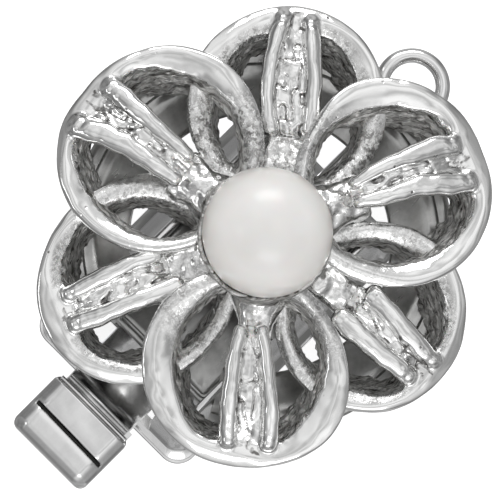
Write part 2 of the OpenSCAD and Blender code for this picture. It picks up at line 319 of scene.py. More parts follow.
def petal_field(x, y, z, row):
    upper, seed = row["upper"], row["seed"]
    z0 = UP_Z if upper else LOW_Z
    tilt = UP_TILT if upper else LOW_TILT
    s, hw, ph, lz, outer = loop_parts(x, y, z, row)
    r0 = 4.5
    # band: a domed top over a wall that leans inwards and is deeper towards the tip
    deep = 0.95 + 0.75 * step(0.25, 0.8, outer)
    top = 0.62
    lean = band_lean(outer, ph, lz, top, deep, seed)
    s2 = s + lean
    hz = (top + deep) / 2
    band = rounded_rect(s2, lz - (top - deep) / 2, hw, hz, 0.42)
    # the crown falls away to both edges, with a soft ridge line that wanders
    ridge_at = 0.12 * np.sin(2.3 * ph + seed) + 0.05 * np.sin(5.1 * ph + 2 * seed)
    off = np.abs(s2 - ridge_at) / hw
    band = np.maximum(band, (lz - top + 0.20 * np.clip(off, 0, 1.2) ** 1.6) * 0.97)
    near = np.abs(band) < 0.5
    bs, bp, bz, bh = s2[near], ph[near], lz[near], hw[near]
    # rough ridged inner wall
    ridge = noise(bp * r0 / 0.55, bz / 0.22 + bp * r0 / 0.9, bs * 0 + 3, seed)
    ridge2 = noise(bp * r0 / 0.20, bz / 0.14 + bp * r0 / 0.4, bs * 0 + 9, seed + 5)
    inner = step(-bh * 0.35, -bh * 0.85, bs) * step(0.48, 0.15, bz)
    d = band[near] - inner * (0.10 * ridge + 0.06 * ridge2)
    # hand-finished unevenness of the top, and flats
    d = d + 0.045 * noise(bp * r0 / 1.5, bs / 0.9, bz / 1.2, seed + 9) + 0.018 * noise(bp * r0 / 0.62, bs / 0.45, bz / 0.6, seed + 11)
    # frosted stretch near the hub
    side = np.where(y[near] > 0, row["frost"][0], row["frost"][1])
    rad = np.hypot(x[near], y[near])
    frost = side * (step(7.2, 5.6, rad) if upper else step(8.4, 6.6, rad))
    fine = noise(x[near] / 0.15, y[near] / 0.15, z[near] / 0.15, seed + 13)
    d = d + frost * 0.022 * fine
    band[near] = d
    # rails
    rails, curves = [], []
    for key in ("a", "b"):
        gx, gy, gw = rail_curve(row, key)
        x0, x1 = gx[0], gx[-1]
        gz = rail_z(gx, x0, x1, z0, tilt)
        gyx, gzx = np.gradient(gy, gx), np.gradient(gz, gx)
        rr = 0.46
        xr = np.clip(x, x0 + rr, x1 - rr)
        yc, hwid, zc = np.interp(xr, gx, gy), np.interp(xr, gx, gw), np.interp(xr, gx, gz)
        cy, cz = 1 / np.hypot(1, np.interp(xr, gx, gyx)), 1 / np.hypot(1, np.interp(xr, gx, gzx))
        wav = 1 + 0.07 * np.sin(2.1 * xr + seed) * np.sin(3.7 * xr + 2 * seed)
        hwid = hwid * wav
        a, b = np.abs(y - yc) * cy / hwid, np.abs(z - zc) * cz / 0.44
        dd = ((a ** 2.25 + b ** 2.25 + (np.abs(x - xr) / rr) ** 2.25 + 1e-6) ** (1 / 2.25) - 1) * np.minimum(hwid, 0.42)
        near = np.abs(dd) < 0.3
        dd[near] += 0.032 * noise(x[near] / 0.8, y[near] / 0.5, z[near] / 0.5, seed + 41) + 0.008 * noise(x[near] / 0.25, y[near] / 0.2, z[near] / 0.2, seed + 43)
        rails.append(dd)
        curves.append((gx, gy, gz, x0, x1))
    rail = np.minimum(rails[0], rails[1])
    # crumpled channel between the rails
    x0, x1 = min(curves[0][3], curves[1][3]) + 0.12, max(curves[0][4], curves[1][4]) + (0.1 if row["name"] == "south" else 0.35)
    ya, yb = (np.interp(x, c[0], c[1]) for c in curves)
    za, zb = (np.interp(x, c[0], c[2]) for c in curves)
    mid, half = (ya + yb) / 2, np.maximum((ya - yb) / 2, 0.05)
    zc = (za + zb) / 2
    chan = np.full_like(x, 9.0)
    close = (np.abs(z - zc) < 0.9) & (np.abs(y - mid) < half + 0.4) & (x > x0 - 0.5) & (x < x1 + 0.5)
    cx, cy, cz = x[close], y[close] - mid[close], z[close] - zc[close]
    cz = cz + 0.20 - chan_relief(cx, cy, row)[0]
    c = rounded_rect(cy * 0, cz, 1.0, 0.19, 0.1)
    c = np.maximum(np.maximum(c, np.abs(cy) - half[close]), np.maximum(x0 - cx, cx - x1))
    c = np.maximum(c, s[close] - 0.15 * hw[close])
    chan[close] = c
    d = smin(rail, chan, 0.07)
    return smin(band, d, 0.2)


def petal_masks(v, row):
    """Per point: how frosted the surface is, how much it is unpolished wall, darkened partly as painted shade, and how
    deep in a channel crease, darkened as painted shade.
    """
    upper = row["upper"]
    x, y, z = v[:, 0], v[:, 1], v[:, 2]
    s, hw, ph, lz, outer = loop_parts(x, y, z, row)
    rad = np.hypot(x, y)
    z0 = UP_Z if upper else LOW_Z
    tilt = UP_TILT if upper else LOW_TILT
    curves = []
    for key in ("a", "b"):
        gx, gy, gw = rail_curve(row, key)
        curves.append((gx, gy, gw, rail_z(gx, gx[0], gx[-1], z0, tilt)))
    ya, yb = (np.interp(x, c[0], c[1]) for c in curves)
    wa, wb = (np.interp(x, c[0], c[2]) for c in curves)
    zc = (np.interp(x, curves[0][0], curves[0][3]) + np.interp(x, curves[1][0], curves[1][3])) / 2
    x0, x1 = min(c[0][0] for c in curves), max(c[0][-1] for c in curves)
    over = step(-0.75, -0.45, z - zc) * (y < ya + wa + 0.12) * (y > yb - wb - 0.12) * (x > x0 - 0.1) * (x < x1 + 0.1)
    side = np.where(y > 0, row["frost"][0], row["frost"][1])
    frost = side * (step(7.4, 5.8, rad) if upper else step(8.8, 7.0, rad)) * (1 - over)
    if not upper:
        frost = np.maximum(frost, 0.8 * step(-0.05, -0.45, s / hw) * (1 - over))
    deep = 0.95 + 0.75 * step(0.25, 0.8, outer)
    s2 = s + band_lean(outer, ph, lz, 0.62, deep, row["seed"])
    # wall mask: the unpolished lower inner wall, plus the undersides at 0.7; the material darkens it, partly as painted
    # shade of the dim inside and under the loops
    wall = np.maximum(step(0.40, 0.12, lz) * step(-hw * 0.45, -hw * 0.85, s2), step(-0.1, -0.5, lz) * step(-0.1, -0.3, s2))
    under = step(-0.2, -0.7, lz)
    wall = np.clip(np.maximum(wall, 0.7 * under), 0, 1) * (1 - over)
    inside = over * (y < ya - wa * 0.75) * (y > yb + wb * 0.75) * (z > zc - 0.5)
    # the channel's deep creases, which the material darkens as painted shade
    low = step(0.25, 0.8, chan_relief(x, y - (ya + yb) / 2, row)[1])
    return frost, wall, inside * (0.12 + 0.88 * low), ph * 4.5, lz + 0.35 * s


petals = []
for row in PETALS:
    axes = grid_axes((0.9, -5.6, 3.1), (11.7, 5.6, 8.05), STEP)
    X, Y, Z = np.meshgrid(*axes, indexing="ij")
    F = petal_field(X, Y, Z, row)
    shift = (PEARL_X * math.cos(math.radians(row["angle"])), -PEARL_X * math.sin(math.radians(row["angle"])))
    # the pearl's seat, and the core that carries it, are left free
    F = np.maximum(F, (PEARL_R + 0.12) - np.sqrt((X - shift[0]) ** 2 + (Y - shift[1]) ** 2 + (Z - PEARL_Z) ** 2))
    v, q, n = surface(F, axes, STEP)
    frost, wall, chan, arc, rise = petal_masks(v, row)
    ob = make_mesh("petal_" + row["name"], turned(v, row["angle"]), q, turned(n, row["angle"]), {"frost": frost, "wall": wall, "chan": chan, "arc": arc, "rise": rise})
    petals.append(ob)
del X, Y, Z, F

# hub: core, pearl cup and the webs under the ribs' inner ends
axes = grid_axes((-5.3, -5.3, 3.9), (5.3, 5.3, 7.9), STEP)
X, Y, Z = np.meshgrid(*axes, indexing="ij")
R = np.hypot(X, Y)
core = rounded_rect(R, Z - 5.0, 3.05, 0.6, 0.25)
wob = 0.05 * noise(X / 0.8, Y / 0.8, Z / 0.8, 5)
cup_mid = 2.55 + 0.56 * step(5.3, 7.1, Z)
cup = rounded_rect(np.hypot(X - PEARL_X, Y) - cup_mid + wob * 0.8, Z - 6.3 - wob, 0.12, 1.0, 0.1)
hub = smin(core, cup, 0.35)
for row in PETALS:
    a = math.radians(row["angle"])
    name, upper = row["name"], row["upper"]
    lx, ly = X * math.cos(a) + Y * math.sin(a), -X * math.sin(a) + Y * math.cos(a)
    top = 6.72 if upper else 6.15
    reach = {"far": 4.95, "west": 4.95, "side": 5.15}.get(name, 5.2)
    wide = {"far": 1.15, "west": 0.95, "side": 0.9}.get(name, 0.85) + (0.45 if upper else 0.12) * np.maximum(4.2 - lx, 0)
    if name in ("north", "east"):
        wide = wide + (0.5 if name == "north" else 0.32) * step(3.6, 4.6, lx)
    bump = 0.13 * noise(X / 0.6, Y / 0.6, Z / 0.6, 71) + 0.06 * noise(X / 0.27, Y / 0.27, Z / 0.27, 72)
    off = ly - {"far": -0.45, "west": 0.1, "side": 0.1}.get(name, 0.12)
    web = rounded_rect(off, Z - (top - 0.45 - 0.35 * step(3.2, 4.8, lx) - (0.42 if upper else 0.1) * off ** 2) + bump, np.maximum(wide, 0.5), 0.48, 0.38)
    web = smax(web, lx - reach, 0.35)
    web = np.maximum(web, 1.5 - lx)
    hub = smin(hub, web, 0.4)
shift = (PEARL_X, 0.0)
hub = np.maximum(hub, (PEARL_R + 0.02) - np.sqrt((X - shift[0]) ** 2 + (Y - shift[1]) ** 2 + (Z - PEARL_Z) ** 2))
v, q, n = surface(hub, axes, STEP)
rad = np.hypot(v[:, 0], v[:, 1])
toward = np.cos(np.arctan2(v[:, 1], v[:, 0]) - math.radians(40))
frost = step(3.0, 3.2, rad) * (0.28 + 0.72 * step(0.75, 0.9, toward))
# painted shade: the pearl's seat and the hub's lower part go into the wall mask, which the material darkens
seat = step(3.42, 3.30, np.hypot(v[:, 0] - PEARL_X, v[:, 1])) * step(5.9, 6.6, v[:, 2])
wall = np.maximum(step(4.9, 4.4, v[:, 2]) * 0.6, 0.55 * seat)
hub_ob = make_mesh("hub_and_cup", v, q, n, {"frost": frost, "wall": wall, "chan": rad * 0, "arc": v[:, 0] * 1.1, "rise": v[:, 2] + 0.5 * v[:, 1]})
del X, Y, Z, R


# ---------------------------------------------------------------- sheet work: frame, box, back ring
def outline(x0, x1, w, r, n=24):
    """A rectangle with round corners, as points, counterclockwise, with even sides."""
    pts = []
    cx = ((x1 - r, w / 2 - r, 0), (x0 + r, w / 2 - r, 90), (x0 + r, -w / 2 + r, 180), (x1 - r, -w / 2 + r, 270))
    for i, (a, b, t) in enumerate(cx):
        for k in range(n + 1):
            g = math.radians(t + 90 * k / n)
            pts.append((a + r * math.cos(g), b + r * math.sin(g)))
        a2, b2, t2 = cx[(i + 1) % 4]
        g = math.radians(t + 90)
        e0 = np.array((a + r * math.cos(g), b + r * math.sin(g)))
        e1 = np.array((a2 + r * math.cos(g), b2 + r * math.sin(g)))
        m = 30
        for k in range(1, m):
            pts.append(tuple(e0 + (e1 - e0) * k / m))
    return np.array(pts)


def frame_walls():
    prof = []  # inset from the foot's outline, height, for the outside going up
    n = 22
    prof += [(-0.06, 0.0), (-0.10, 0.05), (-0.10, 0.2), (-0.07, 0.25), (0.02, 0.27)]
    for i in range(n + 1):
        t = i / n
        prof.append((LEAN * (0.03 + 0.95 * t ** 0.42), 0.3 + (FRAME_H - 0.45) * t))
    prof += [(LEAN + 0.03, FRAME_H - 0.06), (LEAN + 0.1, FRAME_H - 0.01), (LEAN + 0.2, FRAME_H), (LEAN + 0.31, FRAME_H - 0.03), (LEAN + 0.37, FRAME_H - 0.12)]
    for i in range(n, -1, -1):
        t = i / n
        prof.append((0.34 + (LEAN) * (0.03 + 0.95 * t ** 0.42), 0.02 + (FRAME_H - 0.35) * t))
    rings = []
    for inset, z in prof:
        r = max(1.0 - inset * 0.4, 0.35)
        o = outline(FRAME_X0 + inset, FRAME_X1 - inset, FRAME_W - 2 * inset, r)
        rings.append(np.column_stack([o, np.full(len(o), z)]))
    k = len(rings[0])
    v = np.concatenate(rings)
    m = len(rings)
    f = []
    for i in range(m):
        for j in range(k):
            a, b = i * k + j, i * k + (j + 1) % k
            c, d = ((i + 1) % m) * k + (j + 1) % k, ((i + 1) % m) * k + j
            f.append((a, b, c, d))
    return v, np.array(f)


def extruded(points, z0, z1):
    bm = bmesh.new()
    lo = [bm.verts.new((p[0] * MM, p[1] * MM, z0 * MM)) for p in points]
    hi = [bm.verts.new((p[0] * MM, p[1] * MM, z1 * MM)) for p in points]
    bm.faces.new(lo[::-1])
    bm.faces.new(hi)
    n = len(points)
    for i in range(n):
        bm.faces.new((lo[i], lo[(i + 1) % n], hi[(i + 1) % n], hi[i]))
    bmesh.ops.recalc_face_normals(bm, faces=bm.faces)
    return bm


def to_object(bm, name, bevel=0.0, segments=3, angle=30):
    me = bpy.data.meshes.new(name)
    bm.to_mesh(me)
    bm.free()
    ob = bpy.data.objects.new(name, me)
    bpy.context.scene.collection.objects.link(ob)
    if bevel:
        md = ob.modifiers.new("round", "BEVEL")
        md.width = bevel * MM
        md.segments = segments
        md.limit_method = "ANGLE"
        md.angle_limit = math.radians(angle)
        md.harden_normals = False
    return ob


def applied(ob):
    """The object with its modifiers applied."""
    dg = bpy.context.evaluated_depsgraph_get()
    me = bpy.data.meshes.new_from_object(ob.evaluated_get(dg))
    ob.modifiers.clear()
    ob.data = me
    return ob


def shade(ob, angle=35):
    ob.data.shade_smooth()
    me = ob.data
    me.set_sharp_from_angle(angle=math.radians(angle))


def cut(ob, tool, apply=True):
    md = ob.modifiers.new("cut", "BOOLEAN")
    md.operation = "DIFFERENCE"
    md.solver = "EXACT"
    md.object = tool
    applied(ob)
    bpy.data.objects.remove(tool)


v, f = frame_walls()
frame_ob = make_mesh("frame_walls", v, f)
# notch for the tongue: round-cornered, flaring to the outside
notch = []
for x, y in ((-11.5, -3.6), (-10.7, -3.35), (-10.3, -2.95), (-10.05, -2.6), (-9.7, -2.38), (-9.3, -2.28), (-8.0, -2.25),
             (-8.0, 2.25), (-9.3, 2.28), (-9.7, 2.38), (-10.05, 2.6), (-10.3, 2.95), (-10.7, 3.35), (-11.5, 3.6)):
    notch.append((x, y))
cut(frame_ob, to_object(extruded(notch, 0.36, 4.5), "notch"))
shade(frame_ob, 28)


def slab(x0, x1, y0, y1, z0, z1):
    return extruded([(x0, y0), (x1, y0), (x1, y1), (x0, y1)], z0, z1)


def sheet_box():
    """Folded box: walls, a flat top, floor, and the mouth."""
    w = BOX_W / 2
    body = to_object(slab(BOX_X0, BOX_X1, -w, w, 0.02, BOX_H - 0.12), "sheet_box")
    inner = to_object(slab(BOX_X0 + 0.35, BOX_X1 - SHEET, -w + SHEET, w - SHEET, SHEET, BOX_H - 0.5), "inner")
    cut(body, inner)
    mouth = to_object(slab(BOX_X0 - 1, BOX_X0 + 1, -MOUTH_W / 2, MOUTH_W / 2, SHEET, MOUTH_TOP), "mouth")
    cut(body, mouth)
    md = body.modifiers.new("round", "BEVEL")
    md.width, md.segments, md.limit_method, md.angle_limit = 0.07 * MM, 2, "ANGLE", math.radians(40)
    applied(body)
    shade(body)
    return body


box_ob = sheet_box()


def lid():
    """The lid's sheet, with a groove round it, a folded lip and a slightly sunk middle."""
    w = BOX_W / 2 - 0.02
    x0, x1 = BOX_X0 + 0.02, BOX_X1 - 0.02
    rows = [(0.0, -0.12), (0.0, -0.03), (0.05, 0.0), (0.22, 0.0), (0.27, -0.03), (0.3, -0.1), (0.38, -0.1), (0.41, -0.03), (0.46, 0.0), (0.62, 0.0), (0.67, -0.01),
            (1.6, -0.03), (3.2, -0.06)]
    rings = []
    for inset, dz in rows:
        o = outline(x0 + inset, x1 - inset, 2 * (w - inset), max(0.3 - inset * 0.2, 0.06), 4)
        rings.append(np.column_stack([o, np.full(len(o), BOX_H + dz)]))
    k, m = len(rings[0]), len(rings)
    v = np.concatenate(rings)
    f = [((i * k + j), (i * k + (j + 1) % k), ((i + 1) * k + (j + 1) % k), ((i + 1) * k + j)) for i in range(m - 1) for j in range(k)]
    bm = bmesh.new()
    vs = [bm.verts.new(p * MM) for p in v]
    for q in f:
        bm.faces.new([vs[i] for i in q])
    bm.faces.new([vs[(m - 1) * k + j] for j in range(k)])
    low = [bm.verts.new((p[0] * MM, p[1] * MM, (BOX_H - 0.2) * MM)) for p in rings[0]]
    for j in range(k):
        bm.faces.new((low[j], low[(j + 1) % k], vs[(j + 1) % k], vs[j]))
    bm.faces.new(low[::-1])
    bmesh.ops.recalc_face_normals(bm, faces=bm.faces)
    ob = to_object(bm, "box_lid")
    shade(ob, 40)
    return ob


lid_ob = lid()
floor_sheet = to_object(extruded([tuple(p) for p in outline(FRAME_X0 + 0.25, FRAME_X1 - 0.25, FRAME_W - 0.5, 1.25)], 0.02, 0.3), "floor_sheet", 0.05, 2)
cut(floor_sheet, to_object(slab(-12, BOX_X0, -6, 6, -1, 2), "half"))
shade(floor_sheet)


def lathe(profile, a0, a1, n, name, closed=False):
    """A profile of (radius, height) turned from a0 to a1 degrees, with flat ends, or all the way round."""
    m = len(profile)
    prof = np.array(profile)
    angles = np.radians(np.linspace(a0, a1, n + (0 if closed else 1), endpoint=not closed))
    v = np.concatenate([np.column_stack([prof[:, 0] * math.cos(a), prof[:, 0] * math.sin(a), prof[:, 1]]) for a in angles])
    bm = bmesh.new()
    vs = [bm.verts.new(p * MM) for p in v]
    k = len(angles)
    for i in range(k if closed else k - 1):
        for j in range(m):
            a, b = i * m + j, i * m + (j + 1) % m
            c, d = ((i + 1) % k) * m + (j + 1) % m, ((i + 1) % k) * m + j
            bm.faces.new((vs[a], vs[b], vs[c], vs[d]))
    if not closed:
        bm.faces.new([vs[j] for j in range(m)])
        bm.faces.new([vs[(k - 1) * m + j] for j in range(m)][::-1])
    bmesh.ops.recalc_face_normals(bm, faces=bm.faces)
    return to_object(bm, name)


ring_profile = []
for t in np.linspace(0, 1, 10):  # the dish's upper face, from its inner edge outwards
    ring_profile.append((RING_IN + 0.08 + 1.42 * t, 2.74 + 0.75 * t ** 1.5))
ring_profile += [(8.32, 3.62), (8.36, 3.84), (8.44, 3.92), (8.58, 3.95), (8.72, 3.92), (8.79, 3.82), (8.8, 3.3), (8.78, 3.05)]
for t in np.linspace(1, 0, 8):
    ring_profile.append((RING_IN + 0.1 + 1.85 * t, 2.42 + 0.45 * t ** 1.6))
ring_profile += [(RING_IN + 0.02, 2.47), (RING_IN, 2.58), (RING_IN + 0.02, 2.69)]
ring_profile = [(6.3 + (r - RING_IN) * 1.47, z - 0.5 * float(step(7.9, 8.5, r))) for r, z in ring_profile]
ring_ob = lathe(ring_profile, -151.5, 151.5, 220, "back_ring")
shade(ring_ob, 50)

# eyelet: a bent wire ring on its shank, with the soldered lug
h = 0.05
axes = grid_axes((3.4, -2.1, 2.4), (12.7, 2.1, 3.45), h)
X, Y, Z = np.meshgrid(*axes, indexing="ij")
ez = Z - EYE_Z
ring = np.hypot(np.hypot(X - EYE_X, Y) - (EYE_HOLE + EYE_R) / 2 - 0.0, ez) - (EYE_R - EYE_HOLE) / 2 + 0.006
shank = np.maximum(np.hypot(Y, ez) - 0.34, np.maximum(3.6 - X, X - (EYE_X - 1.35)))
lug = np.sqrt((X - (EYE_X - 1.55)) ** 2 + (Y - 0.75) ** 2 + (ez * 1.15) ** 2) - 0.36
eye = smin(smin(ring, shank, 0.16), lug, 0.14)
eye = np.maximum(eye, (EYE_HOLE) - np.hypot(X - EYE_X, Y))
v, q, n = surface(eye, axes, h)
v[:, 1] += 0.15 * step(7.0, 9.5, v[:, 0])
eye_ob = make_mesh("eyelet_ring", v, q, n)
del X, Y, Z


# ---------------------------------------------------------------- tongue
def swept(profile, y0, y1, name, bevel, seg=4, angle=25):
    """A side outline of (x, z) points drawn out along Y."""
    bm = bmesh.new()
    a = [bm.verts.new((p[0] * MM, y0 * MM, p[1] * MM)) for p in profile]
    b = [bm.verts.new((p[0] * MM, y1 * MM, p[1] * MM)) for p in profile]
    n = len(profile)
    bm.faces.new(a)
    bm.faces.new(b[::-1])
    for i in range(n):
        bm.faces.new((a[i], b[i], b[(i + 1) % n], a[(i + 1) % n]))
    bmesh.ops.recalc_face_normals(bm, faces=bm.faces)
    return to_object(bm, name, bevel, seg, angle)


# the block: a pillow with two broad flats, a sharp groove between them and a bead at its neck end
h = 0.05
axes = grid_axes((BLOCK_X0 - 0.15, -BLOCK_W / 2 - 0.15, 0.85), (BLOCK_X1 + 0.15, BLOCK_W / 2 + 0.15, 2.95), h)
X, Y, Z = np.meshgrid(*axes, indexing="ij")
mx, my = (BLOCK_X0 + BLOCK_X1) / 2, 0.0
plan = rounded_rect(X - mx, Y, (BLOCK_X1 - BLOCK_X0) / 2, BLOCK_W / 2, 0.42)
ends = step(BLOCK_W / 2 - 0.75, BLOCK_W / 2, np.abs(Y))
top = 2.78 - 0.34 * ends ** 1.3
top = top - 0.22 * step(BLOCK_X0 + 0.55, BLOCK_X0, X) - 0.06 * (BLOCK_X1 - X) / 3.2 - 0.22 * step(BLOCK_X1 - 0.35, BLOCK_X1, X)
gx = BLOCK_X0 + 1.52 + 0.02 * Y
top = top - 0.05 * np.exp(-((X - gx) / 0.22) ** 2)
body = np.maximum(plan, rounded_rect(X * 0, Z - (1.02 + top) / 2, 1.0, 0.5, 0.1) * 0 + np.maximum(Z - top, 1.02 - Z))
lower = np.maximum(plan + 0.12 * step(1.5, 1.1, Z), 0.0 * Z - 1)
body = smin(np.maximum(body, lower), body + 0.0, 0.02)
edge = np.maximum(np.hypot(np.maximum(plan + 0.22, 0), np.maximum(np.maximum(Z - top, 1.02 - Z) + 0.22, 0)) - 0.22, np.maximum(plan, np.maximum(Z - top, 1.02 - Z)))
cutd = np.maximum(np.abs(X - gx) - 0.085 - 0.05 * np.clip(Z - 2.5, 0, 1), np.maximum(2.3 - Z, np.abs(Y) - BLOCK_W / 2 + 0.26))
block = np.maximum(edge, -cutd)
bead = np.maximum(np.hypot(X - (BLOCK_X1 - 0.11), Z - 2.22) - 0.12, np.abs(Y) - BLOCK_W / 2 + 0.2)
block = np.minimum(np.maximum(block, np.where(Z > 1.9, X - (BLOCK_X1 - 0.3), -1.0)), bead)
v, q, n = surface(block, axes, h)
gx = BLOCK_X0 + 1.52 + 0.02 * v[:, 1]
# painted shade: the groove mask marks where the block's material goes near black
groove = step(0.16, 0.05, np.abs(v[:, 0] - gx)) * step(2.70, 2.55, v[:, 2]) * (v[:, 2] > 2.2) * (np.abs(v[:, 1]) < BLOCK_W / 2 - 0.2)
block_ob = make_mesh("thumb_block", v, q, n, {"groove": groove})
del X, Y, Z
leaf_profile = [(BLOCK_X1 - 0.28, 1.08), (2.76, 1.08), (2.78, 1.1), (2.78, 1.38), (2.76, 1.4), (BOX_X0 + 1.3, 1.4), (BOX_X0 + 1.26, 1.74), (BOX_X0 + 0.54, 1.74),
                (BOX_X0 + 0.5, 1.4), (BLOCK_X1 + 1.5, 1.4), (BLOCK_X1 + 1.0, 1.46), (BLOCK_X1 + 0.62, 1.66), (BLOCK_X1 + 0.42, 1.95), (BLOCK_X1 + 0.30, 1.97), (BLOCK_X1 + 0.24, 1.8),
                (BLOCK_X1 + 0.12, 1.8), (BLOCK_X1 + 0.06, 1.95), (BLOCK_X1 - 0.28, 1.95)]
leaf_ob = swept(leaf_profile, -1.93, 1.93, "upper_leaf", 0.03, 2, 30)
applied(leaf_ob)
shade(leaf_ob)


# ---------------------------------------------------------------- pearl
def pearl():
    nu, nv = 160, 80
    rings = []
    hole = math.asin(0.47 / PEARL_R)
    for i in range(nv + 1):
        t = hole + (math.pi - hole) * i / nv  # from the drill hole at the bottom to the top
        for j in range(nu):
            p = 2 * math.pi * j / nu
            d = np.array((math.sin(t) * math.cos(p), math.sin(t) * math.sin(p), -math.cos(t)))
            rings.append(d)
    d = np.array(rings)
    bumps = 0.012 * noise(d[:, 0] * 2.1, d[:, 1] * 2.1, d[:, 2] * 2.1, 3) + 0.004 * noise(d[:, 0] * 7, d[:, 1] * 7, d[:, 2] * 7, 4)
    r = PEARL_R - 0.014 + bumps
    v = d * r[:, None] + (PEARL_X, 0, PEARL_Z)
    f = [(i * nu + j, i * nu + (j + 1) % nu, (i + 1) * nu + (j + 1) % nu, (i + 1) * nu + j) for i in range(nv - 1) for j in range(nu)]
    bm = bmesh.new()
    top = bm.verts.new(v[nv * nu] * MM)
    vs = [bm.verts.new(p * MM) for p in v[: nv * nu]]
    for q in f:
        bm.faces.new([vs[i] for i in q])
    for j in range(nu):
        bm.faces.new((vs[(nv - 1) * nu + j], vs[(nv - 1) * nu + (j + 1) % nu], top))
    deep = [bm.verts.new((x.co.x * 0.96, x.co.y * 0.96, (PEARL_Z - PEARL_R + 1.5) * MM)) for x in vs[:nu]]
    for j in range(nu):
        bm.faces.new((vs[(j + 1) % nu], vs[j], deep[j], deep[(j + 1) % nu]))
    bm.faces.new(deep)
    bmesh.ops.recalc_face_normals(bm, faces=bm.faces)
    ob = to_object(bm, "pearl_nacre")
    shade(ob, 50)
    return ob


pearl_ob = pearl()

# legs and peg, which join the flower to the frame
leg_bm = bmesh.new()
for x, y, z0, z1, r0, r1 in ((-1.55, 3.5, 3.46, 4.6, 0.42, 0.47), (0.71, 3.5, 3.46, 4.6, 0.42, 0.47), (3.55, -0.32, 3.46, 4.6, 0.42, 0.47),
                             (3.55, -2.94, 3.46, 4.6, 0.42, 0.47), (-2.63, -3.5, 3.46, 4.6, 0.42, 0.47), (0, 0, 5.0, 6.68, 0.4, 0.39)):
    rings = []
    for t in np.linspace(0, 1, 7):
        r = r0 + (r1 - r0) * t - 0.07 * math.sin(math.pi * t)
        rings.append([leg_bm.verts.new(((x + r * math.cos(a)) * MM, (y + r * math.sin(a)) * MM, (z0 + (z1 - z0) * t) * MM)) for a in np.linspace(0, 2 * math.pi, 20, endpoint=False)])
    for a, b in zip(rings, rings[1:]):
        for j in range(20):
            leg_bm.faces.new((a[j], a[(j + 1) % 20], b[(j + 1) % 20], b[j]))
    leg_bm.faces.new(rings[0][::-1])
    leg_bm.faces.new(rings[-1])
legs_ob = to_object(leg_bm, "legs_and_peg")
shade(legs_ob, 50)


# ---------------------------------------------------------------- materials
class Nodes:
    def __init__(self, name):
        self.mat = bpy.data.materials.new(name)
        self.mat.use_nodes = True
        self.t = self.mat.node_tree
        self.t.nodes.clear()
        self.out = self.t.nodes.new("ShaderNodeOutputMaterial")
        self.p = self.t.nodes.new("ShaderNodeBsdfPrincipled")
        self.t.links.new(self.p.outputs[0], self.out.inputs[0])
        self.tc = self.t.nodes.new("ShaderNodeTexCoord")

    def new(self, kind, **kw):
        n = self.t.nodes.new(kind)
        for k, v in kw.items():
            setattr(n, k, v)
        return n

    def link(self, a, b):
        self.t.links.new(a, b)

    def scaled(self, s):
        m = self.new("ShaderNodeMapping")
        m.inputs["Scale"].default_value = s if isinstance(s, tuple) else (s, s, s)
        self.link(self.tc.outputs["Object"], m.inputs["Vector"])
        return m.outputs[0]

    def noise(self, scale, detail=3.0, rough=0.55, stretch=None, distortion=0.0):
        n = self.new("ShaderNodeTexNoise")
        n.inputs["Scale"].default_value = 1.0
        n.inputs["Detail"].default_value = detail
        n.inputs["Roughness"].default_value = rough
        n.inputs["Distortion"].default_value = distortion
        self.link(self.scaled(stretch or scale), n.inputs["Vector"])
        return n.outputs["Fac"]

    def voronoi(self, scale):
        n = self.new("ShaderNodeTexVoronoi")
        n.inputs["Scale"].default_value = 1.0
        self.link(self.scaled(scale), n.inputs["Vector"])
        return n.outputs["Distance"]

    def ramp(self, src, stops):
        n = self.new("ShaderNodeValToRGB")
        el = n.color_ramp.elements
        while len(el) < len(stops):
            el.new(0.5)
        for e, (p, c) in zip(el, stops):
            e.position = p
            e.color = (c, c, c, 1) if isinstance(c, (int, float)) else (*c, 1)
        self.link(src, n.inputs[0])
        return n.outputs[0]

    def math(self, op, a, b=None, clamp=False):
        n = self.new("ShaderNodeMath", operation=op, use_clamp=clamp)
        for i, x in enumerate((a, b)):
            if x is None:
                continue
            if isinstance(x, (int, float)):
                n.inputs[i].default_value = x
            else:
                self.link(x, n.inputs[i])
        return n.outputs[0]

    def mix(self, fac, a, b):
        n = self.new("ShaderNodeMix", data_type="RGBA")
        for i, x in ((0, fac), (6, a), (7, b)):
            if isinstance(x, (int, float)):
                n.inputs[i].default_value = x
            elif isinstance(x, tuple):
                n.inputs[i].default_value = (*x, 1)
            else:
                self.link(x, n.inputs[i])
        return n.outputs[2]

    def attr(self, name):
        n = self.new("ShaderNodeAttribute", attribute_name=name)
        return n.outputs["Fac"]

    def bump(self, height, strength, distance, normal=None):
        n = self.new("ShaderNodeBump")
        n.inputs["Distance"].default_value = distance
        if isinstance(strength, (int, float)):
            n.inputs["Strength"].default_value = strength
        else:
            self.link(strength, n.inputs["Strength"])
        self.link(height, n.inputs["Height"])
        if normal is not None:
            self.link(normal, n.inputs["Normal"])
        return n.outputs[0]


